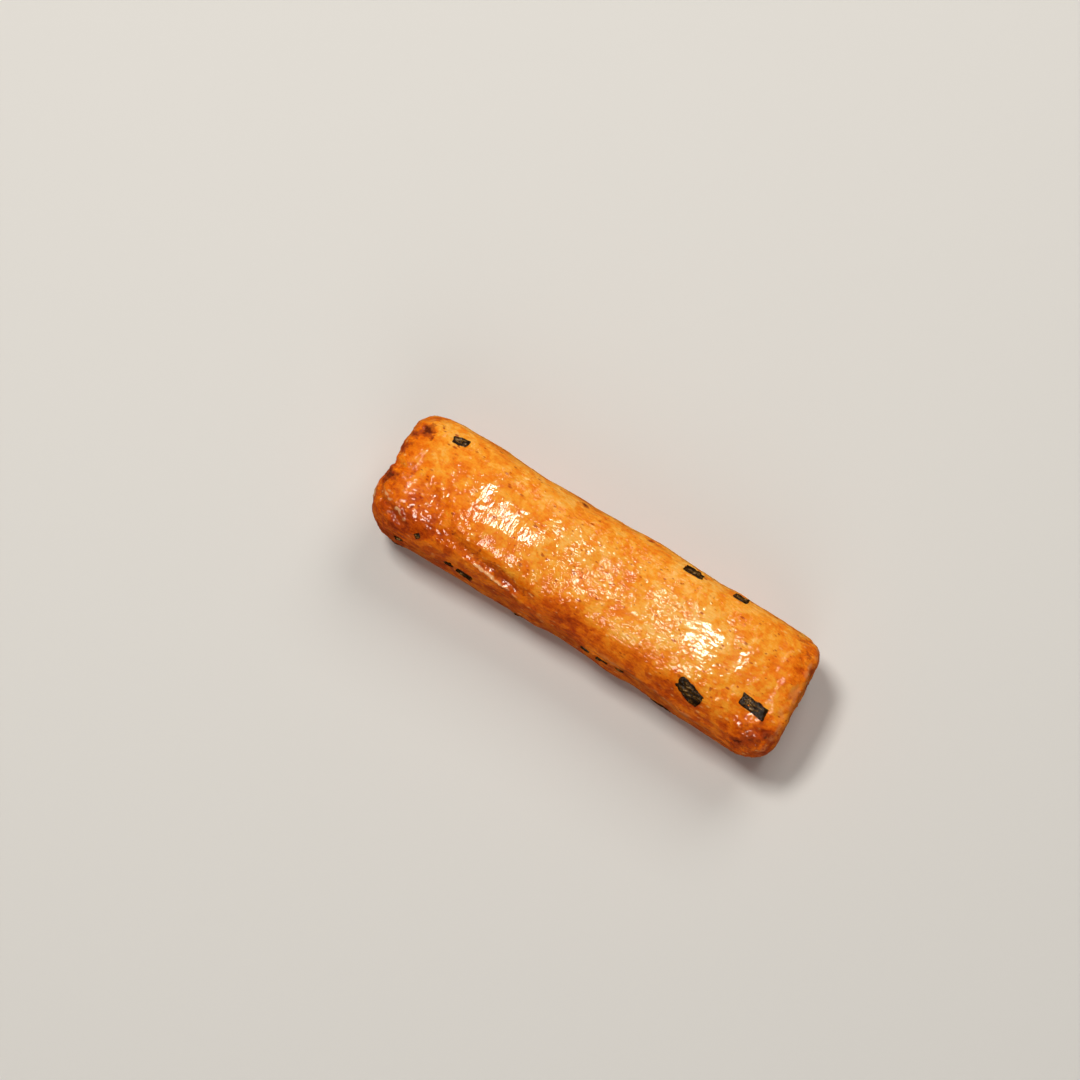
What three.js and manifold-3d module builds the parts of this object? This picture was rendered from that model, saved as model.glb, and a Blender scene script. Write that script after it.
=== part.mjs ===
// A Japanese rice cracker in the shape of a stick (okaki): a bar of pounded rice dough, cut with a
// knife, dried, baked until it swells and brushed with soy glaze. Millimetres, +Z up, +X along the
// stick. The stick lies on its flattened side, with the origin under its middle.
import * as THREE from "three";
import { mergeVertices } from "three/addons/utils/BufferGeometryUtils.js";
import Module from "manifold-3d";

// Overall size of the swollen bar, before the oven tray flattens its underside.
const LENGTH = 49.1;
const WIDTH = 14.8;
const HEIGHT = 11;
const TRAY_CUT = 0.6;

// How square the bar is: 2 is an ellipse, and higher is squarer.
const SECTION_SQUARENESS = 2.85;
const END_SQUARENESS = 13;

// What baking did to the straight cut bar.
const WAIST = 0.055; // share of the width lost at the middle
const TAPER = 0.015; // share of the width gained at +X and lost at -X
const CROWN = 0.3; // rise of the top at the middle
const BEND = 0.35; // sideways bow of the whole bar
const TWIST = THREE.MathUtils.degToRad(5); // from end to end
const END_SKEW = 0.05; // slant of the +X end
const CORNER_ROUNDING = 0.85; // how far the softest corner, at -X -Y, draws back
const ROLL = { height: 0.28, length: 26, crest: -11 }; // long wave of the top
const UNEVEN = [
  // slow swells first, then the smaller lumps of the skin
  { size: 9, height: 0.26 },
  { size: 3.6, height: 0.14 },
  { size: 1.7, height: 0.09 },
];

// Lumps and dents with a place of their own, as {x, y, z, radius, height}.
const LUMPS = [
  { x: -25, y: -4, z: 6.5, radius: 3.4, height: 0.9 }, // swollen half of the -X end
  { x: -25, y: -0.5, z: 7.5, radius: 2.2, height: -1.2 }, // notch beside it
  { x: -25, y: 7.3, z: 8.5, radius: 3, height: -1.1 }, // worn corner
  { x: -25, y: 4.9, z: 6, radius: 2.2, height: 0.4 },
  { x: 24, y: 5.8, z: 8, radius: 2, height: 0.4 },
  { x: 23.5, y: -5.5, z: 8.5, radius: 2.2, height: 0.2 },
  { x: 24.5, y: 0, z: 4.5, radius: 3.2, height: -0.4 }, // dished +X end
  { x: 10, y: -7, z: 5, radius: 5, height: -0.45 },
  { x: 25, y: -7.3, z: 3.5, radius: 3.6, height: -1.3 }, // worn corner
  { x: 25, y: 7.3, z: 8.5, radius: 2.8, height: -0.8 }, // worn corner
  { x: -7, y: 7, z: 5, radius: 4, height: 0.3 },
];

// The fold along the -Y shoulder, where the skin slid over itself: a groove with a lip under it.
const FOLD_START = new THREE.Vector3(-16, -4.4, 9.9);
const FOLD_END = new THREE.Vector3(-4, -6, 8.9);
const FOLD_HALF_WIDTH = 0.75;
const FOLD_DEPTH = 0.42;
const LIP_OFFSET = 1;
const LIP_HEIGHT = 0.22;

// Grid of the surface: cells along X, Y and Z, each about 0.8 mm.
const CELLS = [66, 18, 13];

// A repeatable number from 0 to 1 for each corner of a lattice.
function latticeValue(i, j, k) {
  const wave = Math.sin(i * 127.1 + j * 311.7 + k * 74.7) * 43758.5453;
  return wave - Math.floor(wave);
}

// Smooth noise from -1 to 1 with swells about `size` across.
function smoothNoise(point, size) {
  const scaled = point.clone().divideScalar(size);
  const base = scaled.clone().floor();
  const ease = scaled.sub(base).toArray().map((t) => t * t * (3 - 2 * t));
  let sum = 0;
  for (let corner = 0; corner < 8; corner++) {
    const step = [corner & 1, (corner >> 1) & 1, corner >> 2];
    const weight = step.reduce((w, s, axis) => w * (s ? ease[axis] : 1 - ease[axis]), 1);
    sum += weight * latticeValue(base.x + step[0], base.y + step[1], base.z + step[2]);
  }
  return 2 * sum - 1;
}

// A bell of height 1 at distance 0 that falls to 0 at `radius`.
function bell(distance, radius) {
  const t = Math.min(distance / radius, 1);
  return (1 - t * t) ** 2;
}

// Moves a corner of the unit box onto a bar with full faces and soft edges.
function swellBox(corner) {
  const [x, y, z] = corner.toArray().map(Math.abs);
  const section = (y ** SECTION_SQUARENESS + z ** SECTION_SQUARENESS) ** (1 / SECTION_SQUARENESS);
  const scale = (section ** END_SQUARENESS + x ** END_SQUARENESS) ** (-1 / END_SQUARENESS);
  const half = new THREE.Vector3(LENGTH, WIDTH, HEIGHT).multiplyScalar(scale / 2);
  return corner.multiply(half);
}

// Gives the even bar its waist, taper, crown, roll, bow, twist, slanted end and soft corner.
function warp(point) {
  const along = point.x / (LENGTH / 2);
  const middle = 1 - along * along;
  point.y *= 1 - WAIST * middle + TAPER * along;
  const wave = ROLL.height * Math.cos((2 * Math.PI * (point.x - ROLL.crest)) / ROLL.length);
  point.z += (CROWN * middle + wave) * Math.max(point.z / (HEIGHT / 2), 0);
  point.applyAxisAngle(new THREE.Vector3(1, 0, 0), TWIST * along * 0.5);
  point.x += along > 0 ? -END_SKEW * point.y * along ** 4 : 0;
  const corner = bell(Math.hypot(point.x + LENGTH / 2, point.y + WIDTH / 2), WIDTH / 2);
  point.x += CORNER_ROUNDING * corner;
  point.y += BEND * middle;
  point.z += HEIGHT / 2 - TRAY_CUT;
  return point;
}

// Height of the fold's groove and lip at a point of the top.
function foldHeight(point) {
  const line = new THREE.Line3(FOLD_START, FOLD_END);
  const t = line.closestPointToPointParameter(point, true);
  const fade = Math.sin(Math.PI * Math.min(Math.max(t, 0.04), 0.96)) ** 0.5;
  const nearest = line.at(t, new THREE.Vector3());
  const groove = bell(point.distanceTo(nearest), FOLD_HALF_WIDTH * 2);
  const lip = bell(point.distanceTo(nearest.setY(nearest.y - LIP_OFFSET)), FOLD_HALF_WIDTH * 2);
  return fade * (LIP_HEIGHT * lip - FOLD_DEPTH * groove);
}

// How far the skin stands out of the warped bar at a point.
function relief(point) {
  let height = foldHeight(point);
  for (const { size, height: swell } of UNEVEN) height += swell * smoothNoise(point, size);
  for (const lump of LUMPS) height += lump.height * bell(point.distanceTo(lump), lump.radius);
  return height;
}

// The whole skin as one closed mesh.
function crackerSkin() {
  const box = new THREE.BoxGeometry(2, 2, 2, ...CELLS);
  box.deleteAttribute("normal");
  box.deleteAttribute("uv");
  const skin = mergeVertices(box);
  const place = skin.getAttribute("position");
  const point = new THREE.Vector3();
  const normal = new THREE.Vector3();
  for (let i = 0; i < place.count; i++) {
    warp(swellBox(point.fromBufferAttribute(place, i)));
    place.setXYZ(i, ...point);
  }
  skin.computeVertexNormals();
  for (let i = 0; i < place.count; i++) {
    normal.fromBufferAttribute(skin.getAttribute("normal"), i);
    point.fromBufferAttribute(place, i);
    point.addScaledVector(normal, relief(point));
    place.setXYZ(i, ...point);
  }
  skin.deleteAttribute("normal");
  return skin;
}

function toSolid(wasm, geometry) {
  const merged = mergeVertices(geometry);
  const vertProperties = merged.getAttribute("position").array;
  const triVerts = new Uint32Array(merged.index.array);
  return new wasm.Manifold(new wasm.Mesh({ numProp: 3, vertProperties, triVerts }));
}

function toGeometry(solid) {
  const { vertProperties, triVerts } = solid.getMesh();
  return new THREE.BufferGeometry()
    .setAttribute("position", new THREE.BufferAttribute(vertProperties, 3))
    .setIndex(new THREE.BufferAttribute(triVerts, 1));
}

// Cuts off what would reach below the oven tray, which leaves the flat side it lies on.
function flattenUnderside(wasm, geometry) {
  const tray = new THREE.BoxGeometry(2 * LENGTH, 2 * LENGTH, LENGTH).translate(0, 0, -LENGTH / 2);
  tray.deleteAttribute("normal");
  tray.deleteAttribute("uv");
  return toGeometry(toSolid(wasm, geometry).subtract(toSolid(wasm, tray)));
}

// Brings the middle of the outer box over the origin.
function centre(geometry) {
  geometry.computeBoundingBox();
  const middle = geometry.boundingBox.getCenter(new THREE.Vector3());
  return geometry.translate(-middle.x, -middle.y, 0);
}

const wasm = await Module();
wasm.setup();

const glazedRice = new THREE.MeshStandardMaterial({
  color: "#d87f34",
  roughness: 0.3,
  metalness: 0,
});
const cracker = new THREE.Mesh(centre(flattenUnderside(wasm, crackerSkin())), glazedRice);
cracker.name = "cracker";

const group = new THREE.Group();
group.add(cracker);

export default group;
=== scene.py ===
"""Looks of a glazed rice cracker stick (okaki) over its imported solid. Lengths are millimetres
until MM turns them into Blender's metres."""

import math
import random

import bmesh
import bpy
import numpy as np
from mathutils import Matrix, Vector, noise
from mathutils.bvhtree import BVHTree


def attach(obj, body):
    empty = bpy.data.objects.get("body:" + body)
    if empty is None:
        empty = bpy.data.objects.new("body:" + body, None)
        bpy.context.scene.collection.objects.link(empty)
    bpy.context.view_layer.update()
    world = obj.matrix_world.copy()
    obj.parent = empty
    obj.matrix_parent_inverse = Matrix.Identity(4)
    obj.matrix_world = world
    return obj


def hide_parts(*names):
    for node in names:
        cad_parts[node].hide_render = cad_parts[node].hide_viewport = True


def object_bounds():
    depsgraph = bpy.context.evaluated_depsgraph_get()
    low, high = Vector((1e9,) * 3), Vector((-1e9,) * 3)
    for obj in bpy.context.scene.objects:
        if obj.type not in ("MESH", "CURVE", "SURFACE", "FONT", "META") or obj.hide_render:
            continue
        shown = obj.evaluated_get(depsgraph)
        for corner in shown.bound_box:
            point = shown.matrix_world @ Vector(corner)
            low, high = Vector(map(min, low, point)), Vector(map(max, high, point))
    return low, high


MM = 0.001

# The stick as a whole
MIDDLE_HEIGHT = 5.0  # the stick's inner axis above its underside
GIRTH_RADIUS = 6.5  # turns an angle round the stick into a length on its skin
OUTSIDE = 15.0  # farther from the inner axis than the sides
TOP_FADE = (5.0, 8.0)  # what lies on the top fades in between these heights
UNDERSIDE_ANGLE = 135.0  # beyond this angle round the stick lies its flat underside

# Skin mesh
VOXEL = 0.186
SMOOTHING_STEPS = 21
FINE_REACH = 1.0  # the mesh is finer this near to a crease

# Relief of the skin: height and size of each kind of unevenness. Drag lines run along the sides.
DIMPLES = (0.045, 2.2)
CRINKLES = (0.04, 0.8)
BLISTERS = (0.025, 0.36)
PEBBLES = (0.012, 0.5)
DRAG_LINES = (0.035, 0.42)
DRAG_LENGTH = 7.0
FLANK_FROM = (38, 62)  # the sides set in between these angles round the stick
FLANK_TO = (130, 150)  # and end between these
GNARLS = (0.15, 1.4)  # at the ends
GNARLED_FROM = (18.5, 24)  # the ends set in between these distances from the middle
BASE_QUIET = 0.25  # share of the relief kept on the underside
SPOT_DEPTH = 0.04  # the skin sinks this far where it is baked darkest

# Creases of the top: the course as (x, y), the groove's half width and depth, the lip beside it
# (shift along Y, half width and height), and how strongly a highlight is painted on its crest
CREASES = [
    {  # the fold along the -Y shoulder
        "course": [(-14.4, -4.6), (-12.5, -5.0), (-9.0, -5.15), (-6.5, -5.4), (-4.3, -5.8)],
        "groove": (0.30, 0.30),
        "lip": (-0.50, 0.22, 0.18),
        "crest_highlight": 1.0,
    },
    {  # the nick that runs in from the -X end
        "course": [(-25.2, -0.6), (-24.0, -0.9), (-22.6, -1.0)],
        "groove": (0.32, 0.22),
        "lip": (-0.5, 0.25, 0.10),
        "crest_highlight": 0.0,
    },
    {  # the low step that carries on from the nick
        "course": [(-23.5, -0.9), (-20.3, -1.0), (-17.0, -2.2), (-15.0, -4.0)],
        "groove": (0.60, 0.07),
        "lip": (0.7, 0.35, 0.10),
        "crest_highlight": 0.0,
    },
    {  # the furrow round the swollen corner
        "course": [(-25.0, -3.1), (-23.1, -4.6), (-20.4, -5.9), (-19.0, -6.5)],
        "groove": (0.34, 0.22),
        "lip": (0.5, 0.22, 0.13),
        "crest_highlight": 0.8,
    },
]
CREASE_REACH = 2  # grooves and lips fade out at this many half widths
CREASE_WOBBLE = (0.18, 1.1)  # how far the courses stray, and the size of the swings
LIP_BEADS = (0.35, 0.45)  # share by which the lips swell and shrink, and the beads' size
DARKEST_GROOVE = 0.3  # a groove this deep gets its full painted shade

# The sharp shoulder over the -Y side near the +X end: (x, angle) of its ends
SHOULDER = ((4.0, -64.0), (22.5, -82.0))
SHOULDER_WIDTH = 0.5
SHOULDER_HEIGHT = 0.16

# The patch of the top that shows the brush's strokes
BRUSHED_X = -11.0
BRUSHED_RADIUS = 6.5

# Places where the glaze dried thick and glassy, as (x, y, radius)
POOLS = [
    (-12.6, 1.4, 3.0),
    (-10.2, -1.2, 3.6),
    (14.6, -0.2, 3.2),
    (17.2, -1.6, 1.8),
    (-0.9, 1.6, 1.1),
    (-19.0, -3.4, 3.2),
    (-21.5, 2.6, 1.6),
    (-7.5, -5.6, 3.0),
    (13.0, -5.5, 2.4),
    (20.8, -4.6, 2.2),
]

# How deeply each part of the skin is browned, from 0 to 1
# The low side's share is partly painted shade, as that side is turned from the light.
BROWNING = {"everywhere": 0.2, "ends": 0.25, "shaded low side": 0.42, "far side": 0.28, "underside": 0.3}

# Broad changes of that, as (x, angle round the stick, radius, change)
# Those that deepen the -Y side are partly painted shade.
TONES = [
    (-19.0, -40.0, 7.0, 0.36),
    (-24.0, 10.0, 4.0, 0.04),
    (-21.0, 12.0, 4.0, -0.08),
    (4.6, 15.0, 3.6, 0.10),
    (10.0, 5.0, 4.2, -0.16),
    (8.0, 0.0, 8.0, -0.10),
    (16.0, 10.0, 5.0, -0.10),
    (-3.4, 20.0, 4.0, -0.09),
    (-20.5, 40.0, 2.6, -0.06),
    (11.0, -52.0, 3.6, 0.20),
    (-1.0, -60.0, 4.5, 0.14),
    (22.6, -56.0, 3.4, 0.30),
    (23.6, 42.0, 3.0, 0.08),
]

# Spots baked dark, as (x, angle round the stick from the top, radius, strength)
SPOTS = [
    (-23.3, 43.0, 0.95, 0.95),
    (-24.0, 34.0, 0.6, 0.85),
    (-24.3, 14.0, 0.9, 0.6),
    (-24.0, -27.0, 1.0, 0.85),
    (-24.1, -74.0, 0.7, 0.5),
    (22.4, -56.0, 1.3, 0.75),
    (21.6, -66.0, 0.9, 0.85),
    (23.8, -50.0, 0.7, 0.7),
    (21.6, 60.0, 0.8, 0.4),
    (23.2, 47.0, 0.7, 0.4),
    (-5.0, 60.0, 0.4, 0.9),
    (2.8, 64.0, 0.35, 0.9),
    (-14.8, -40.0, 0.25, 0.9),
    (-15.8, -46.0, 0.2, 0.9),
    (-11.4, -40.0, 0.2, 0.7),
    (-20.0, -38.5, 0.24, 1.0),
    (21.8, -53.0, 0.2, 1.0),
    (16.4, -37.0, 0.2, 0.8),
    (-2.0, -10.0, 0.45, 0.4),
    (24.5, 140.0, 1.6, 0.7),
    (-24.5, 120.0, 1.8, 0.8),
    (8.0, -120.0, 1.0, 0.5),
    (-6.0, 130.0, 1.2, 0.5),
]

# The pale patch at the tip, as (x, angle round the stick, radius)
PALE_TIP = (-24.9, -60.0, 0.9)

# Seaweed flakes, as (x, angle, length, width, turn from the stick's axis in degrees)
FLAKES = [
    # those that the photo shows
    (-19.4, 45.0, 1.9, 1.15, 8.0),
    (-12.0, -75.0, 2.0, 1.1, -10.0),
    (-13.9, -72.0, 0.9, 0.8, 30.0),
    (8.3, 56.0, 2.3, 1.5, -2.0),
    (14.0, 58.0, 1.8, 1.2, 4.0),
    (14.3, -47.5, 3.6, 1.65, -17.0),
    (20.9, -31.0, 3.4, 1.3, -5.0),
    (-18.0, -58.0, 0.7, 0.6, 40.0),
    (-19.9, -78.0, 1.1, 0.6, 20.0),
    (2.9, -77.0, 1.2, 0.6, -4.0),
    (4.9, -78.0, 1.6, 0.6, -8.0),
    (7.0, -79.0, 1.2, 0.5, -4.0),
    # hidden ones: on the far side, low on the near side, and pressed flush underneath
    (-16.0, 98.0, 2.4, 1.5, 25.0),
    (-2.5, 112.0, 1.6, 1.4, -60.0),
    (19.5, 104.0, 2.8, 1.6, 15.0),
    (12.6, -112.0, 2.6, 1.7, 30.0),
    (-5.4, -115.0, 1.5, 1.1, -35.0),
    (-20.6, -112.0, 2.2, 1.5, 70.0),
    (17.5, 168.0, 2.5, 1.8, 35.0),
    (-9.0, -166.0, 2.9, 1.7, -50.0),
    (2.0, 176.0, 1.3, 1.0, 15.0),
]
FLAKE_RINGS = 10
FLAKE_SEGMENTS = 48
FLAKE_THICKNESS = 0.16
FLAKE_LIFT = 0.10
FLAKE_CRUMPLE = 0.09
CRUMPLE_SIZE = (0.75, 0.28)  # along and across the flake
WRINKLE_SIZE = (0.16, 0.12)
FLAKE_RAGGED = 0.2  # share by which a flake's outline swells and shrinks
EDGE_DROP = 0.06  # a flake's edge lies this much closer to the skin
SEAT_HEIGHT = 0.05  # of the ring of glaze round a flake
PRESSED_DEPTH = 0.28  # how deep the flakes of the flat underside are pressed in

# Colours of the crust, linear
# The depth also carries the painted shade of the low side, the hollows and the grooves.
GLAZE_COLOURS = [  # (depth of browning, colour)
    (0.0, (1.0, 0.52, 0.11)),
    (0.22, (0.96, 0.355, 0.024)),
    (0.48, (0.87, 0.195, 0.004)),
    (0.75, (0.62, 0.085, 0.0015)),
    (1.0, (0.32, 0.029, 0.001)),
]
# Pale pimple tops: the blisters' own paler colour, and painted glints
PIMPLE_COLOUR = (1.0, 0.56, 0.18)
# Pinkish painted sheen under the shoulder and on the +X end's rim
RIM_SHEEN_COLOUR = (0.76, 0.26, 0.08)
# Painted highlight on the lips' crests, also the colour of the pale patch at the tip
CREST_COLOUR = (1.0, 0.60, 0.28)
BLUSH_COLOUR = (0.66, 0.13, 0.02)
# The browned and burnt colours also paint shade in the grooves.
BROWNED_AND_SHADE_COLOUR = (0.38, 0.05, 0.006)
BURNT_AND_SHADE_COLOUR = (0.07, 0.010, 0.004)
SPECK_COLOUR = (0.40, 0.032, 0.003)
SPECKS = [(1.5, 0.09), (0.9, 0.12), (0.5, 0.15)]  # spacing, and radius as a share of it
PIMPLE_SPACING = 0.7

# The crust's finest relief and its gloss
RIPPLE_HEIGHT = 0.095
PIMPLE_HEIGHT = 0.035
STROKE_HEIGHT = 0.075
ROUGHNESS = (0.52, 0.32)  # where the glaze is thin, and where it pooled
COAT_WEIGHT = (0.45, 0.9)  # likewise

# The paler colours are partly the flakes' own olive and gold and partly painted glints.
NORI_COLOURS = [  # (value of the patches, colour)
    (0.38, (0.012, 0.005, 0.002)),
    (0.49, (0.046, 0.020, 0.004)),
    (0.57, (0.15, 0.066, 0.012)),
    (0.67, (0.46, 0.28, 0.11)),
]
CRINKLE_HEIGHT = 0.12
FLOOR_COLOUR = (0.72, 0.71, 0.69)
FLOOR_REACH = 1500.0

# Camera
VIEW_TURN = 32.3  # camera's turn round the object, degrees
VIEW_HEIGHT = 77.0  # camera's height above the floor's plane, degrees
LENS = 100.0
SENSOR = 36.0
CLIP_START = 10.0
PICTURE_WIDTH = 113.2  # width of the view at the object
OFF_CENTRE = (5.7, -4.7)  # the object's place right of and above the picture's middle

# Lamps, as direction, distance, size (along X and across) and power. The softboxes light
# surfaces and leave no reflection. The glints show only as reflections in the glaze.
LAMP_COLOUR = (1.0, 0.96, 0.90)
SOFTBOXES = {
    "overhead": ((-0.40, 0.10, 0.91), 500, (100, 150), 1.55),
    "key": ((0.05, 0.80, 0.75), 520, (260, 260), 1.0),
    "fill": ((0.5, -0.9, 0.6), 600, (400, 400), 0.75),
}
GLINT_COLOUR = (1.0, 0.92, 0.78)
GLINTS = {
    "gleam": ((-0.09, 0.19, 0.975), 400, (60, 85), 0.62),
    "low_glint": ((-0.12, -0.42, 0.90), 500, (60, 160), 0.6),
    "high_glint": ((-0.12, 0.75, 0.62), 500, (60, 160), 0.18),
}
STUDIO_COLOUR = (1.0, 0.98, 0.95)
STUDIO_LIGHT = 0.08  # strength of the studio's own light
BACKDROP = 0.7  # strength with which the camera sees it

SEED = 7

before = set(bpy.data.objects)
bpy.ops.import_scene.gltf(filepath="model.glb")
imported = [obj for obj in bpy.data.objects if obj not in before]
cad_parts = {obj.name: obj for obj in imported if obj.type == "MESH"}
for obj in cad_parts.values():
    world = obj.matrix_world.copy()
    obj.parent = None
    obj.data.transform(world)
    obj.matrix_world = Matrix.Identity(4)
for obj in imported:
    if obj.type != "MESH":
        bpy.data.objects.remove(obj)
cad_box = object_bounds()
rng = random.Random(SEED)


# ---- Geometry ---------------------------------------------------------------------------------

def noise_field(points, size, seed):
    """Smooth noise of about -1 to 1 at each point, with swells about `size` across. Each seed
    gives a pattern of its own."""
    shift = Vector((seed * 13.7, seed * -7.3, seed * 3.1))
    scaled = points / np.asarray(size)
    return np.array([noise.noise(Vector(p) + shift) for p in scaled]) * 1.6


def ridged(values, width):
    """Turns smooth noise into thin ridges of height 1 where it passes through zero."""
    return np.clip(1 - np.abs(values) / width, 0, 1) ** 1.5


def smoothstep(low, high, values):
    t = np.clip((values - low) / (high - low), 0, 1)
    return t * t * (3 - 2 * t)


def bell(distance, radius):
    """1 at distance 0, falling smoothly to 0 at `radius`."""
    return (1 - np.clip(distance / radius, 0, 1) ** 2) ** 2


def angle_round(points):
    """Angle of each point round the stick in degrees: 0 on top, 90 on the +Y side."""
    return np.degrees(np.arctan2(points[:, 1], points[:, 2] - MIDDLE_HEIGHT))


def top_share(points):
    """1 on the top, falling to 0 halfway down the sides."""
    return smoothstep(*TOP_FADE, points[:, 2])


def surface_tree(mesh):
    """The mesh as a tree to cast rays at, in millimetres."""
    vertices = [vertex.co / MM for vertex in mesh.vertices]
    faces = [tuple(face.vertices) for face in mesh.polygons]
    return BVHTree.FromPolygons(vertices, faces)


def surface_point(tree, x, angle):
    """The skin's point and normal that face `angle` at `x`, or the nearest, in millimetres."""
    turn = math.radians(angle)
    outward = Vector((0, math.sin(turn), math.cos(turn)))
    axis_point = Vector((x, 0, MIDDLE_HEIGHT))
    hit, normal, _, _ = tree.ray_cast(axis_point + outward * OUTSIDE, -outward, OUTSIDE)
    if hit is None:
        hit, normal, _, _ = tree.find_nearest(axis_point + outward * MIDDLE_HEIGHT)
    return hit, normal


def distance_from(points, tree, x, angle):
    """Distance of each point from the skin's point that faces `angle` at `x`."""
    middle, _ = surface_point(tree, x, angle)
    return np.linalg.norm(points - np.array(middle), axis=1)


def read_points(mesh):
    flat = np.empty(len(mesh.vertices) * 3)
    mesh.vertices.foreach_get("co", flat)
    return flat.reshape(-1, 3) / MM


def write_points(mesh, points):
    mesh.vertices.foreach_set("co", (points * MM).ravel())
    mesh.update()


def read_normals(mesh):
    flat = np.empty(len(mesh.vertices) * 3)
    mesh.vertex_normals.foreach_get("vector", flat)
    return flat.reshape(-1, 3)


def remeshed_skin():
    """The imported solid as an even, smoothed quad mesh."""
    mesh = bpy.data.objects["cracker"].data.copy()
    mesh.name = "crust"
    crust = bpy.data.objects.new("crust", mesh)
    bpy.context.scene.collection.objects.link(crust)
    remesh = crust.modifiers.new("even_quads", "REMESH")
    remesh.mode = "VOXEL"
    remesh.voxel_size = VOXEL * MM
    smooth = crust.modifiers.new("smooth", "SMOOTH")
    smooth.factor = 0.5
    smooth.iterations = SMOOTHING_STEPS
    graph = bpy.context.evaluated_depsgraph_get()
    crust.data = bpy.data.meshes.new_from_object(crust.evaluated_get(graph))
    crust.modifiers.clear()
    crust.data.materials.clear()
    refine_creases(crust.data)
    for face in crust.data.polygons:
        face.use_smooth = True
    return crust


def refine_creases(mesh):
    """Halves the quads along the creases and the shoulder, which need a finer mesh."""
    builder = bmesh.new()
    builder.from_mesh(mesh)
    points = np.array([face.calc_center_median() for face in builder.faces]) / MM
    near = np.zeros(len(points), dtype=bool)
    for crease in CREASES:
        distance, _ = distance_to_path(points, crease["course"])
        near |= (distance < FINE_REACH) & (points[:, 2] > MIDDLE_HEIGHT)
    (x0, angle0), (x1, angle1) = SHOULDER
    turn = np.radians(angle_round(points) - (angle0 + angle1) / 2)
    along_shoulder = (points[:, 0] > x0) & (points[:, 0] < x1)
    near |= (np.abs(turn * GIRTH_RADIUS) < FINE_REACH) & along_shoulder
    builder.edges.index_update()
    edges = {edge for face, wanted in zip(builder.faces, near) if wanted for edge in face.edges}
    edges = sorted(edges, key=lambda edge: edge.index)
    bmesh.ops.subdivide_edges(builder, edges=edges, cuts=1, use_grid_fill=True)
    builder.to_mesh(mesh)
    builder.free()


def distance_to_path(points, path):
    """Flat distance from each point to a path of (x, y), and how far along the path it is."""
    best = np.full(len(points), np.inf)
    along = np.zeros(len(points))
    count = len(path) - 1
    for index in range(count):
        start = np.array(path[index])
        step = np.array(path[index + 1]) - start
        offset = points[:, :2] - start
        t = np.clip(offset @ step / (step @ step), 0, 1)
        distance = np.linalg.norm(offset - t[:, None] * step, axis=1)
        nearer = distance < best
        best[nearer] = distance[nearer]
        along[nearer] = (index + t[nearer]) / count
    return best, along


def crease_relief(points):
    """Height of the creases, the masks of their grooves and lips, and the crests' painted
    highlight.
    """
    above = smoothstep(5.5, 6.5, points[:, 2])
    wobble = CREASE_WOBBLE[0] * noise_field(points, CREASE_WOBBLE[1], 21)
    beads = 1 + LIP_BEADS[0] * noise_field(points, LIP_BEADS[1], 23)
    strayed = points + np.array([0, 1, 0]) * wobble[:, None]
    height, grooves, lips, crest_highlight = (np.zeros(len(points)) for _ in range(4))
    for crease in CREASES:
        distance, along = distance_to_path(strayed, crease["course"])
        ends = np.sin(math.pi * np.clip(along, 0.03, 0.97)) ** 0.6 * above
        groove_width, depth = crease["groove"]
        groove = bell(distance, groove_width * CREASE_REACH) * ends
        lip_shift, lip_width, lip_height = crease["lip"]
        beside = [(x, y + lip_shift) for x, y in crease["course"]]
        distance, _ = distance_to_path(strayed, beside)
        lip = bell(distance, lip_width * CREASE_REACH) * ends * beads
        height += lip_height * lip - depth * groove
        grooves = np.maximum(grooves, groove * depth / DARKEST_GROOVE)
        lips = np.maximum(lips, lip)
        # painted highlight along the lips' crests
        crest_highlight = np.maximum(crest_highlight, crease["crest_highlight"] * smoothstep(0.72, 1.1, lip))
    return height, grooves, lips, crest_highlight


def shoulder_relief(points, angles):
    """The crisp edge between the top and the -Y side, and the mask of the painted sheen under it.
    """
    (x0, angle0), (x1, angle1) = SHOULDER
    t = np.clip((points[:, 0] - x0) / (x1 - x0), 0, 1)
    course = angle0 + (angle1 - angle0) * t + 3 * noise_field(points, 4, 22)
    distance = np.radians(course - angles) * GIRTH_RADIUS
    begun = smoothstep(x0 - 2, x0 + 4, points[:, 0])
    ends = begun * (1 - smoothstep(x1 - 3, x1 + 1, points[:, 0]))
    strayed = distance + 0.3 * noise_field(points, 1.2, 24)
    sheen_band = smoothstep(-0.2, 0.25, strayed) * (1 - smoothstep(0.4, 1.3, strayed)) * ends
    return SHOULDER_HEIGHT * bell(np.abs(distance), SHOULDER_WIDTH * 2) * ends, sheen_band


def spot_mask(points, tree):
    """How dark each point is baked by the spots, from 0 to 1."""
    mask = np.zeros(len(points))
    wobble = 1 + 0.45 * noise_field(points, 0.6, 31) + 0.2 * noise_field(points, 0.25, 32)
    for x, angle, radius, strength in SPOTS:
        distance = distance_from(points, tree, x, angle) * wobble
        mask = np.maximum(mask, strength * bell(distance, radius * 1.5))
    return mask


def pale_tip(points, tree):
    """How pale each point is made at the tip, from 0 to 1."""
    x, angle, radius = PALE_TIP
    wobble = 1 + 0.4 * noise_field(points, 0.5, 34)
    return bell(distance_from(points, tree, x, angle) * wobble, radius * 1.4)


def tone_map(points, tree):
    """How much deeper (or paler) the broad tones make each point: browning and painted shade."""
    change = np.zeros(len(points))
    wobble = 1 + 0.3 * noise_field(points, 2.4, 33)
    for x, angle, radius, amount in TONES:
        distance = distance_from(points, tree, x, angle) * wobble
        change += amount * bell(distance, radius * 1.3)
    return change


def flake_frame(tree, x, angle, turn):
    """A flake's middle on the skin, and its along, across and outward directions."""
    middle, normal = surface_point(tree, x, angle)
    along = (Vector((1, 0, 0)) - normal * normal.x).normalized()
    along.rotate(Matrix.Rotation(math.radians(turn), 3, normal))
    return middle, along, normal.cross(along), normal


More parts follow.
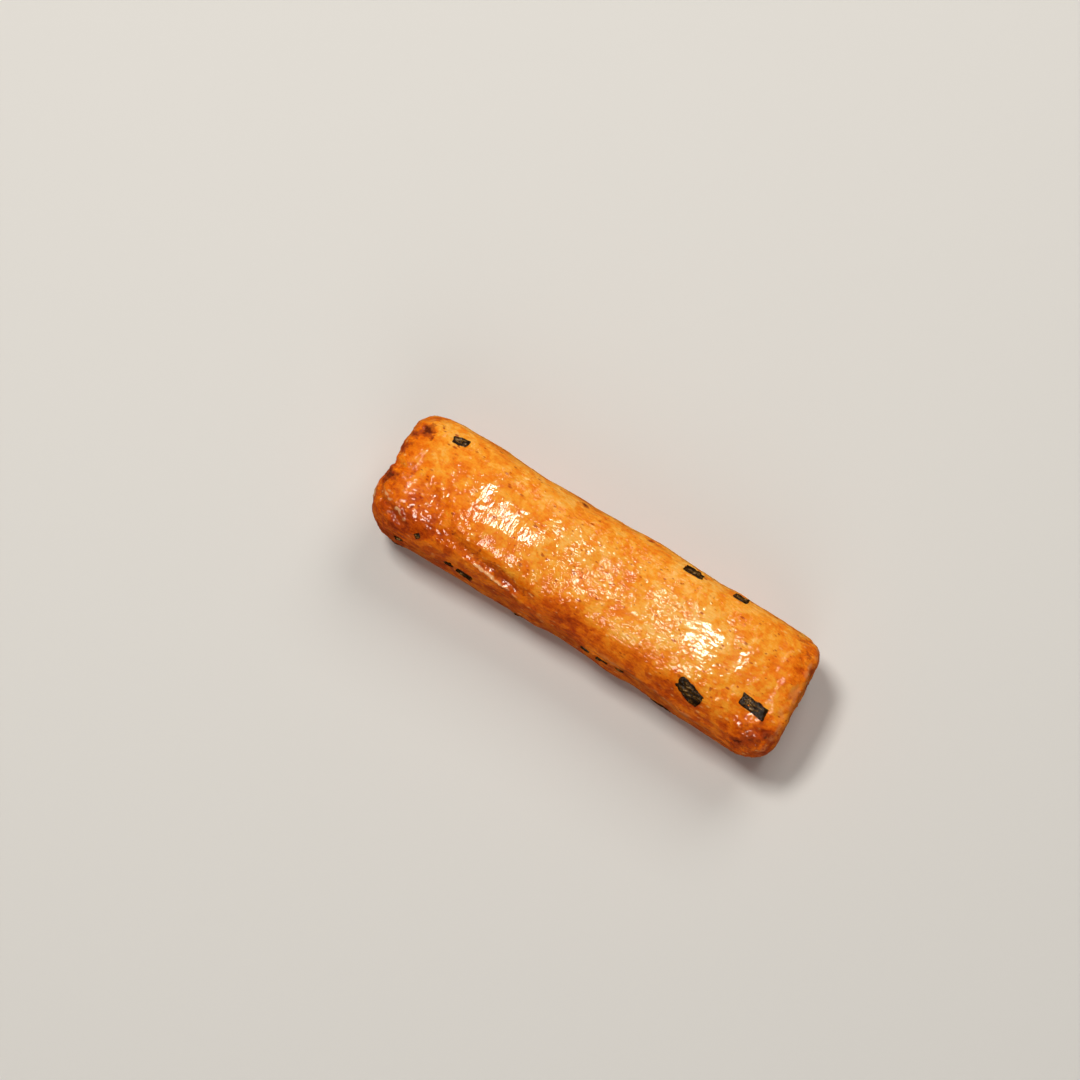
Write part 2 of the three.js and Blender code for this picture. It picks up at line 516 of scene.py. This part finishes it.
def pool_mask(points):
    """How thick and glassy the glaze is, from 0 to 1."""
    ragged = 0.35 * noise_field(points, 1.3, 51) + 0.15 * noise_field(points, 0.5, 52)
    mask = np.zeros(len(points))
    for x, y, radius in POOLS:
        distance = np.hypot(points[:, 0] - x, points[:, 1] - y)
        mask = np.maximum(mask, 1 - smoothstep(0.55, 1.15, distance / radius + ragged))
    scattered = smoothstep(0.55, 0.9, noise_field(points, 1.6, 53))
    return np.maximum(mask * top_share(points), 0.15 * scattered)


def seat_relief(points, tree):
    """The low ring of glaze that dried round each flake, and the beds of the flakes underneath."""
    height = np.zeros(len(points))
    for x, angle, length, width, turn in FLAKES:
        middle, along, across, _ = flake_frame(tree, x, angle, turn)
        offset = points - np.array(middle)
        near = np.linalg.norm(offset, axis=1) < length
        u = np.abs(offset[near] @ np.array(along)) / (length / 2)
        v = np.abs(offset[near] @ np.array(across)) / (width / 2)
        edge = (u ** 5 + v ** 5) ** (1 / 5)
        if abs(angle) > UNDERSIDE_ANGLE:
            height[near] -= PRESSED_DEPTH * (1 - smoothstep(1.0, 1.25, edge))
        else:
            ring = SEAT_HEIGHT * bell(np.abs(edge - 1.12), 0.3)
            height[near] = np.maximum(height[near], ring)
    return height


def skin_relief(points, normals):
    """Height of the skin's own unevenness at each point."""
    angles = angle_round(points)
    sideways = np.abs(angles)
    flank = smoothstep(*FLANK_FROM, sideways) * (1 - smoothstep(*FLANK_TO, sideways))
    bent = points + 0.5 * np.stack([noise_field(points, 1.7, seed) for seed in (1, 2, 3)], axis=1)
    height = DIMPLES[0] * noise_field(bent, DIMPLES[1], 4)
    patchy = smoothstep(-0.5, 0.6, noise_field(points, 5, 5))
    across = noise_field(bent, np.array([0.6, 1.7, 1.7]) * CRINKLES[1], 6)
    height += CRINKLES[0] * ridged(across, 0.32) * patchy * (1 - flank)
    height += BLISTERS[0] * smoothstep(0.35, 0.9, noise_field(points, BLISTERS[1], 9))
    rough = noise_field(bent, PEBBLES[1], 7)
    height += PEBBLES[0] * rough * (0.5 + 0.5 * patchy)
    drag_size = np.array([DRAG_LENGTH, DRAG_LINES[1], DRAG_LINES[1]])
    height += DRAG_LINES[0] * noise_field(points, drag_size, 8) * flank
    gnarled = smoothstep(*GNARLED_FROM, np.abs(points[:, 0]))
    height += gnarled * GNARLS[0] * noise_field(bent, GNARLS[1], 14)
    height += gnarled * GNARLS[0] * 0.5 * ridged(noise_field(bent, GNARLS[1] * 0.6, 15), 0.3)
    under = smoothstep(-0.6, -0.9, normals[:, 2])
    return height * (1 - (1 - BASE_QUIET) * under)


def fit_to_box(points, box):
    """Stretches the points by a hair so that their box is exactly the solid's."""
    low, high = (np.array(corner) / MM for corner in box)
    own_low, own_high = points.min(axis=0), points.max(axis=0)
    return low + (points - own_low) * (high - low) / (own_high - own_low)


def add_mask(mesh, name, values):
    """Stores a value from 0 to 1 for each point, for the materials to read."""
    mask = mesh.attributes.new(name, "FLOAT", "POINT")
    mask.data.foreach_set("value", np.clip(values, 0, 1).astype(np.float32))


def toast_and_shade_mask(points, normals, angles, tree):
    """How deeply each point is browned, from 0 to 1, the low side darkened as painted shade."""
    rim = smoothstep(20.5, 25, np.abs(points[:, 0]) + 0.8 * noise_field(points, 2.2, 41))
    # browning, and on the low (-Y) side painted shade
    shaded_low_side = smoothstep(-25, -75, angles + 14 * noise_field(points, 3, 42))
    far_side = smoothstep(60, 110, angles + 14 * noise_field(points, 3, 43))
    under = smoothstep(-0.2, -0.9, normals[:, 2])
    toast_and_shade = np.maximum.reduce([
        BROWNING["ends"] * rim,
        BROWNING["shaded low side"] * shaded_low_side,
        BROWNING["far side"] * far_side,
        BROWNING["underside"] * under,
    ])
    return BROWNING["everywhere"] + toast_and_shade + tone_map(points, tree)


def brushed_mask(points):
    """How much of the brush's strokes each point shows, from 0 to 1."""
    distance = np.hypot(points[:, 0] - BRUSHED_X, points[:, 1])
    return bell(distance, BRUSHED_RADIUS) * top_share(points)


def rim_sheen_mask(points, normals, sheen_band):
    """Painted pinkish sheen at each point, from 0 to 1: under the shoulder and round the +X end.
    """
    lean = normals[:, 0] + 0.12 * noise_field(points, 1.5, 62)
    end_rim = smoothstep(0.3, 0.55, lean) * (1 - smoothstep(0.65, 0.95, lean))
    end_rim *= smoothstep(3.5, 6, points[:, 2])
    patchy = smoothstep(-0.75, 0.5, noise_field(points, 0.8, 61))
    return np.maximum(sheen_band, 0.8 * end_rim) * patchy


def make_crust():
    """The skin with its relief, and the masks that its colours follow."""
    crust = remeshed_skin()
    mesh = crust.data
    points, normals = read_points(mesh), read_normals(mesh)
    angles = angle_round(points)
    tree = surface_tree(mesh)
    creases, grooves, lips, crest_highlight = crease_relief(points)
    shoulder, sheen_band = shoulder_relief(points, angles)
    spots = spot_mask(points, tree)
    height = skin_relief(points, normals) + creases + shoulder
    height += seat_relief(points, tree) - SPOT_DEPTH * spots
    moved = points + normals * height[:, None]
    moved[:, 2] = np.maximum(moved[:, 2], 0)
    write_points(mesh, fit_to_box(moved, cad_box))

    # browning, with painted shade on the low side and from the broad tones
    add_mask(mesh, "toast_and_shade", toast_and_shade_mask(points, normals, angles, tree))
    add_mask(mesh, "brushed", brushed_mask(points))
    # baked spots, and painted shade in the grooves
    add_mask(mesh, "burnt_and_groove_shade", np.maximum(spots, 0.45 * grooves))
    # painted shade: the hollows of the relief and the grooves are coloured darker
    hollow = -(height - creases) / (DIMPLES[0] + CRINKLES[0]) + 0.7 * grooves
    add_mask(mesh, "hollow", 0.5 + 0.5 * hollow)
    glass = pool_mask(points) * (1 - 0.7 * smoothstep(55, 80, np.abs(angles)))
    add_mask(mesh, "glass", np.maximum(glass, 0.9 * lips))
    # painted highlight on the lips' crests, and the pale patch at the tip
    add_mask(mesh, "crest", np.maximum(crest_highlight, pale_tip(points, tree)))
    # pinkish painted sheen under the shoulder and on the +X end's rim
    add_mask(mesh, "rim_sheen", rim_sheen_mask(points, normals, sheen_band))
    return crust


def flake_outline(length, width, seed):
    """Radii of a clipped, roughly rectangular flake at FLAKE_SEGMENTS directions."""
    cuts = []
    for side in range(4):
        turn = math.pi / 2 * side + rng.uniform(-0.16, 0.16)
        cuts.append((turn, (width if side % 2 else length) / 2 * rng.uniform(0.88, 1.05)))
    corner_reach = math.hypot(length, width) / 2
    for _ in range(rng.choice((1, 2, 2, 3))):
        turn = math.atan2(rng.choice((-1, 1)) * width, rng.choice((-1, 1)) * length)
        turn += rng.uniform(-0.5, 0.5)
        cuts.append((turn, corner_reach * rng.uniform(0.66, 0.86)))
    radii = []
    for index in range(FLAKE_SEGMENTS):
        turn = 2 * math.pi * index / FLAKE_SEGMENTS
        reach = [far / max(math.cos(turn - towards), 0.01) for towards, far in cuts]
        towards = Vector((math.cos(turn), math.sin(turn), 0)) * 1.9
        swell = 1 + FLAKE_RAGGED * noise.noise(towards + Vector((0, 0, seed)))
        radii.append(min(reach) * swell * rng.uniform(0.98, 1.02))
    return radii


def flake_sheet(tree, frame_of_flake, radii, seed):
    """Points of a crumpled flake laid on the skin: first its centre, then ring after ring."""
    middle, along, across, normal = frame_of_flake
    sheet = []
    for ring in range(FLAKE_RINGS + 1):
        for index in range(FLAKE_SEGMENTS if ring else 1):
            t = ring / FLAKE_RINGS
            turn_round = 2 * math.pi * index / FLAKE_SEGMENTS
            reach = radii[index] * t
            u, v = reach * math.cos(turn_round), reach * math.sin(turn_round)
            flat = middle + along * u + across * v
            hit, skin_normal, _, _ = tree.ray_cast(flat + normal * 2, -normal, 6)
            if hit is None:
                hit, skin_normal, _, _ = tree.find_nearest(flat)
            crumple = noise.noise(Vector((u / CRUMPLE_SIZE[0], v / CRUMPLE_SIZE[1], seed)))
            fine = noise.noise(Vector((u / WRINKLE_SIZE[0], v / WRINKLE_SIZE[1], seed + 40)))
            rise = FLAKE_CRUMPLE * (crumple * 1.5 + fine * 0.2)
            lift = FLAKE_LIFT + rise - EDGE_DROP * t ** 4
            sheet.append((hit + skin_normal * lift, skin_normal))
    return sheet


def ring_start(ring):
    """Index of a ring's first point in a flake's sheet."""
    return 0 if ring == 0 else 1 + (ring - 1) * FLAKE_SEGMENTS


def inside_box(point):
    """The point in metres, moved into the solid's box where it lies outside."""
    low, high = cad_box
    return [min(max(value * MM, least), most) for value, least, most in zip(point, low, high)]


def add_flake(builder, sheet):
    """Adds a closed flake: its top sheet, its underside and the rim between them."""
    lower = [point - normal * FLAKE_THICKNESS for point, normal in sheet]
    top = [builder.verts.new(inside_box(point)) for point, _ in sheet]
    under = [builder.verts.new(inside_box(point)) for point in lower]
    for ring in range(FLAKE_RINGS):
        inner, outer = ring_start(ring), ring_start(ring + 1)
        for index in range(FLAKE_SEGMENTS):
            after = (index + 1) % FLAKE_SEGMENTS
            if ring == 0:
                corners = [0, outer + index, outer + after]
            else:
                corners = [inner + index, outer + index, outer + after, inner + after]
            builder.faces.new([top[corner] for corner in corners])
            builder.faces.new([under[corner] for corner in reversed(corners)])
    rim = ring_start(FLAKE_RINGS)
    for index in range(FLAKE_SEGMENTS):
        here, after = rim + index, rim + (index + 1) % FLAKE_SEGMENTS
        builder.faces.new([top[here], under[here], under[after], top[after]])


def make_flakes(crust):
    """All the seaweed flakes, as one piece."""
    tree = surface_tree(crust.data)
    builder = bmesh.new()
    for seed, (x, angle, length, width, turn) in enumerate(FLAKES):
        radii = flake_outline(length, width, seed * 3.7)
        sheet = flake_sheet(tree, flake_frame(tree, x, angle, turn), radii, seed * 5.3)
        add_flake(builder, sheet)
    mesh = bpy.data.meshes.new("nori_flakes")
    builder.to_mesh(mesh)
    builder.free()
    ring = [0] + [r for r in range(1, FLAKE_RINGS + 1) for _ in range(FLAKE_SEGMENTS)]
    add_mask(mesh, "edge", np.tile(np.array(ring) / FLAKE_RINGS, 2 * len(FLAKES)))
    for face in mesh.polygons:
        face.use_smooth = True
    flakes = bpy.data.objects.new("nori_flakes", mesh)
    bpy.context.scene.collection.objects.link(flakes)
    return flakes


# ---- Materials --------------------------------------------------------------------------------

def new_material(name):
    material = bpy.data.materials.new(name)
    material.use_nodes = True
    tree = material.node_tree
    tree.nodes.clear()
    output = tree.nodes.new("ShaderNodeOutputMaterial")
    shader = tree.nodes.new("ShaderNodeBsdfPrincipled")
    tree.links.new(shader.outputs["BSDF"], output.inputs["Surface"])
    return material, tree, shader


def object_coordinates(tree, scale=(1, 1, 1)):
    """Object coordinates in millimetres, stretched by `scale`."""
    source = tree.nodes.new("ShaderNodeTexCoord")
    mapping = tree.nodes.new("ShaderNodeMapping")
    mapping.inputs["Scale"].default_value = [s / MM for s in scale]
    tree.links.new(source.outputs["Object"], mapping.inputs["Vector"])
    return mapping.outputs["Vector"]


def noise_node(tree, vector, size, detail=3, roughness=0.55, distortion=0):
    node = tree.nodes.new("ShaderNodeTexNoise")
    node.inputs["Scale"].default_value = 1 / size
    node.inputs["Detail"].default_value = detail
    node.inputs["Roughness"].default_value = roughness
    node.inputs["Distortion"].default_value = distortion
    tree.links.new(vector, node.inputs["Vector"])
    return node.outputs["Fac"]


def scatter_node(tree, vector, spacing):
    """Distance from scattered points about `spacing` apart, as a share of that."""
    node = tree.nodes.new("ShaderNodeTexVoronoi")
    node.inputs["Scale"].default_value = 1 / spacing
    tree.links.new(vector, node.inputs["Vector"])
    return node.outputs["Distance"]


def mask_node(tree, name):
    """One of the masks that the mesh carries."""
    node = tree.nodes.new("ShaderNodeAttribute")
    node.attribute_name = name
    return node.outputs["Fac"]


def math_node(tree, operation, first, second):
    node = tree.nodes.new("ShaderNodeMath")
    node.operation = operation
    for socket, value in zip(node.inputs, (first, second)):
        if isinstance(value, (int, float)):
            socket.default_value = value
        else:
            tree.links.new(value, socket)
    return node.outputs["Value"]


def remap(tree, value, low, high, new_low=0, new_high=1, straight=False):
    """Brings values between `low` and `high` to between the new ones, eased unless straight."""
    node = tree.nodes.new("ShaderNodeMapRange")
    node.interpolation_type = "LINEAR" if straight else "SMOOTHSTEP"
    node.inputs["From Min"].default_value = low
    node.inputs["From Max"].default_value = high
    node.inputs["To Min"].default_value = new_low
    node.inputs["To Max"].default_value = new_high
    tree.links.new(value, node.inputs["Value"])
    return node.outputs["Result"]


def ramp(tree, value, stops):
    """Colour ramp of (position, linear colour) stops."""
    node = tree.nodes.new("ShaderNodeValToRGB")
    elements = node.color_ramp.elements
    while len(elements) < len(stops):
        elements.new(0.5)
    for element, (position, colour) in zip(elements, stops):
        element.position = position
        element.color = (*colour, 1)
    tree.links.new(value, node.inputs["Fac"])
    return node.outputs["Color"]


def mix_colour(tree, factor, first, second):
    node = tree.nodes.new("ShaderNodeMix")
    node.data_type = "RGBA"
    tree.links.new(factor, node.inputs["Factor"])
    colours = [socket for socket in node.inputs if socket.type == "RGBA"]
    for socket, value in zip(colours, (first, second)):
        if isinstance(value, tuple):
            socket.default_value = (*value, 1)
        else:
            tree.links.new(value, socket)
    return [socket for socket in node.outputs if socket.type == "RGBA"][0]


def bump(tree, height, distance=1):
    """The normal of a surface raised by `distance` millimetres where `height` is 1."""
    node = tree.nodes.new("ShaderNodeBump")
    node.inputs["Distance"].default_value = distance * MM
    node.inputs["Strength"].default_value = 1
    tree.links.new(height, node.inputs["Height"])
    return node.outputs["Normal"]


def add_up(tree, *values):
    total = values[0]
    for value in values[1:]:
        total = math_node(tree, "ADD", total, value)
    return total


def glaze_colour(tree, place, lengthwise):
    """Golden rice dough under soy glaze, mottled, browned by the masks and given painted shade."""
    zones = noise_node(tree, place, 4.5, 2)
    mottle = noise_node(tree, place, 1.3, 4, 0.6, 0.4)
    dashes = noise_node(tree, lengthwise, 0.27, 2, 0.5, 0.3)
    grain = noise_node(tree, place, 0.16, 2, 0.5)
    depth = add_up(
        tree,
        # browning, with painted shade on the low side
        remap(tree, mask_node(tree, "toast_and_shade"), 0, 1, 0.12, 0.92, straight=True),
        remap(tree, zones, 0.3, 0.7, -0.05, 0.07),
        remap(tree, mottle, 0.38, 0.62, -0.11, 0.14),
        # the dashes lean pale, partly painted highlights of the light on the ripples
        remap(tree, dashes, 0.32, 0.68, 0.05, -0.08),
        remap(tree, grain, 0.3, 0.7, -0.03, 0.03),
        # painted shade, deeper in the hollows and grooves
        remap(tree, mask_node(tree, "hollow"), 0.45, 0.95, 0, 0.14),
    )
    return ramp(tree, depth, GLAZE_COLOURS)


def paler(tree, colour, place, pimples):
    """The colour with pale pimples and tip, and painted glints, sheen and highlights on crests."""
    # pale pimple tops, partly painted glints
    clusters = remap(tree, noise_node(tree, place, 1.9, 2), 0.42, 0.6)
    crests = math_node(tree, "MULTIPLY", remap(tree, pimples, 0.24, 0.10, 0, 0.5), clusters)
    colour = mix_colour(tree, crests, colour, PIMPLE_COLOUR)
    # pinkish painted sheen under the shoulder and on the +X end's rim
    rim_sheen = remap(tree, mask_node(tree, "rim_sheen"), 0.1, 0.9, 0, 0.6)
    colour = mix_colour(tree, rim_sheen, colour, RIM_SHEEN_COLOUR)
    # painted highlight on the lips' crests, and the pale patch at the tip
    crest = remap(tree, mask_node(tree, "crest"), 0, 1, 0, 0.75)
    return mix_colour(tree, crest, colour, CREST_COLOUR)


def baked_and_shaded(tree, colour, place):
    """The colour with its blush, darker where burnt, and with painted shade in the grooves."""
    blush = remap(tree, noise_node(tree, place, 1.1, 4, 0.6, 0.8), 0.6, 0.74, 0, 0.35)
    colour = mix_colour(tree, blush, colour, BLUSH_COLOUR)
    ragged = remap(tree, noise_node(tree, place, 0.5, 4, 0.6, 0.5), 0.3, 0.7, -0.28, 0.2)
    burnt_and_groove_shade = add_up(tree, mask_node(tree, "burnt_and_groove_shade"), ragged)
    colour = mix_colour(tree, remap(tree, burnt_and_groove_shade, 0.1, 0.5, 0, 0.75), colour, BROWNED_AND_SHADE_COLOUR)
    return mix_colour(tree, remap(tree, burnt_and_groove_shade, 0.5, 0.95, 0, 0.85), colour, BURNT_AND_SHADE_COLOUR)


def speckled(tree, colour, place, lengthwise):
    """The colour with small dark specks in loose crowds."""
    for spacing, share in SPECKS:
        distance = scatter_node(tree, lengthwise, spacing)
        speck = remap(tree, distance, share * 1.6, share * 0.7, 0, 0.8)
        crowded = remap(tree, noise_node(tree, place, spacing * 1.8, 2), 0.47, 0.58)
        speck = math_node(tree, "MULTIPLY", speck, crowded)
        colour = mix_colour(tree, speck, colour, SPECK_COLOUR)
    return colour


def crust_height(tree, lengthwise, pimples, glass):
    """Height in millimetres of the glaze's finest ripples, pimples and brush strokes."""
    brushed = mask_node(tree, "brushed")
    calm = remap(tree, glass, 0, 0.8, 1, 0.55)
    calm = math_node(tree, "MULTIPLY", calm, remap(tree, brushed, 0, 0.8, 1, 0.25))
    waves = noise_node(tree, lengthwise, 0.38, 1, 0.5, 0.3)
    ripples = math_node(tree, "MULTIPLY", waves, RIPPLE_HEIGHT)
    bumps = remap(tree, pimples, 0.05, 0.5, PIMPLE_HEIGHT, 0)
    strokes = noise_node(tree, object_coordinates(tree, (1, 0.2, 1)), 0.42, 2, 0.5, 0.6)
    deep = remap(tree, brushed, 0, 1, 0, STROKE_HEIGHT, straight=True)
    return add_up(
        tree,
        math_node(tree, "MULTIPLY", add_up(tree, ripples, bumps), calm),
        math_node(tree, "MULTIPLY", strokes, deep),
    )


def crust_material():
    """Glossy where the glaze pooled, duller where it is thin."""
    material, tree, shader = new_material("crust_glaze")
    place = object_coordinates(tree)
    lengthwise = object_coordinates(tree, (0.5, 1, 1))
    pimples = scatter_node(tree, lengthwise, PIMPLE_SPACING)
    colour = glaze_colour(tree, place, lengthwise)
    colour = paler(tree, colour, place, pimples)
    colour = baked_and_shaded(tree, colour, place)
    colour = speckled(tree, colour, place, lengthwise)
    tree.links.new(colour, shader.inputs["Base Color"])
    glass = mask_node(tree, "glass")
    satin = remap(tree, noise_node(tree, place, 1.5, 3), 0.3, 0.7, 0.06, -0.06)
    roughness = add_up(tree, remap(tree, glass, 0, 1, *ROUGHNESS), satin)
    tree.links.new(roughness, shader.inputs["Roughness"])
    tree.links.new(remap(tree, glass, 0, 1, *COAT_WEIGHT), shader.inputs["Coat Weight"])
    shader.inputs["Coat Roughness"].default_value = 0.055
    shader.inputs["Coat IOR"].default_value = 1.5
    shader.inputs["IOR"].default_value = 1.4
    shader.inputs["Specular IOR Level"].default_value = 0.14
    shader.inputs["Subsurface Weight"].default_value = 0.12
    shader.inputs["Subsurface Radius"].default_value = (1.0, 0.35, 0.1)
    shader.inputs["Subsurface Scale"].default_value = 0.8 * MM
    normal = bump(tree, crust_height(tree, lengthwise, pimples, glass))
    tree.links.new(normal, shader.inputs["Normal"])
    tree.links.new(normal, shader.inputs["Coat Normal"])
    return material


def nori_material():
    """Crinkled dried seaweed, near black with olive and brown, glossy from the glaze."""
    material, tree, shader = new_material("nori")
    place = object_coordinates(tree)
    patches = noise_node(tree, object_coordinates(tree, (0.45, 1, 1)), 0.3, 3, 0.6, 0.4)
    # painted sheen: each flake is darker at its rim and lighter towards its middle
    inner = remap(tree, mask_node(tree, "edge"), 1.0, 0.4, -0.09, -0.01)
    colour = ramp(tree, math_node(tree, "ADD", patches, inner), NORI_COLOURS)
    tree.links.new(colour, shader.inputs["Base Color"])
    tree.links.new(remap(tree, patches, 0.3, 0.7, 0.34, 0.18), shader.inputs["Roughness"])
    shader.inputs["Specular IOR Level"].default_value = 0.3
    crinkle = bump(tree, noise_node(tree, place, 0.26, 2, 0.6), CRINKLE_HEIGHT)
    tree.links.new(crinkle, shader.inputs["Normal"])
    return material


def floor_material():
    material, tree, shader = new_material("floor")
    shader.inputs["Base Color"].default_value = (*FLOOR_COLOUR, 1)
    shader.inputs["Roughness"].default_value = 0.9
    return material


# ---- Stage ------------------------------------------------------------------------------------

def aim_camera():
    turn, height = math.radians(VIEW_TURN), math.radians(VIEW_HEIGHT)
    flat = math.cos(height)
    back = Vector((math.sin(turn) * flat, -math.cos(turn) * flat, math.sin(height)))
    right = Vector((math.cos(turn), math.sin(turn), 0))
    up = back.cross(right)
    low, high = cad_box
    middle = (Vector(low) + Vector(high)) / 2
    target = middle - (right * OFF_CENTRE[0] + up * OFF_CENTRE[1]) * MM
    camera = bpy.data.objects.new("camera", bpy.data.cameras.new("camera"))
    camera.data.lens = LENS
    camera.data.sensor_width = SENSOR
    camera.data.clip_start = CLIP_START * MM
    camera.location = target + back * PICTURE_WIDTH * MM * LENS / SENSOR
    camera.rotation_euler = back.to_track_quat("Z", "Y").to_euler()
    bpy.context.scene.collection.objects.link(camera)
    bpy.context.scene.camera = camera


def add_lamp(name, colour, direction, distance, size, power):
    """An area light that faces the object."""
    light = bpy.data.lights.new(name, "AREA")
    light.shape = "RECTANGLE"
    light.size, light.size_y = (side * MM for side in size)
    light.energy = power
    light.color = colour
    lamp = bpy.data.objects.new(name, light)
    towards = Vector(direction).normalized()
    across = (Vector((0, 1, 0)) - towards * towards.y).normalized()
    axes = Matrix((across.cross(towards), across, towards)).transposed()
    lamp.location = towards * distance * MM
    lamp.rotation_euler = axes.to_euler()
    bpy.context.scene.collection.objects.link(lamp)
    return lamp


def light_stage():
    for name, placing in SOFTBOXES.items():
        lamp = add_lamp(name, LAMP_COLOUR, *placing)
        lamp.visible_glossy = False
    for name, placing in GLINTS.items():
        lamp = add_lamp(name, GLINT_COLOUR, *placing)
        lamp.visible_diffuse = False
    world = bpy.data.worlds.new("studio")
    world.use_nodes = True
    background = world.node_tree.nodes["Background"]
    background.inputs["Color"].default_value = (*STUDIO_COLOUR, 1)
    camera_ray = world.node_tree.nodes.new("ShaderNodeLightPath").outputs["Is Camera Ray"]
    strength = remap(world.node_tree, camera_ray, 0, 1, STUDIO_LIGHT, BACKDROP, straight=True)
    world.node_tree.links.new(strength, background.inputs["Strength"])
    world.cycles_visibility.glossy = False
    bpy.context.scene.world = world


def lay_floor():
    mesh = bpy.data.meshes.new("floor")
    reach = FLOOR_REACH * MM
    corners = [(-reach, -reach, 0), (reach, -reach, 0), (reach, reach, 0), (-reach, reach, 0)]
    mesh.from_pydata(corners, [], [(0, 1, 2, 3)])
    floor = bpy.data.objects.new("floor", mesh)
    mesh.materials.append(floor_material())
    floor.visible_glossy = False
    bpy.context.scene.collection.objects.link(floor)


crust = make_crust()
crust.data.materials.append(crust_material())
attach(crust, "root")
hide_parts("cracker")

flakes = make_flakes(crust)
flakes.data.materials.append(nori_material())
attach(flakes, "root")

aim_camera()
light_stage()
lay_floor()
bpy.context.scene.view_settings.view_transform = "Standard"
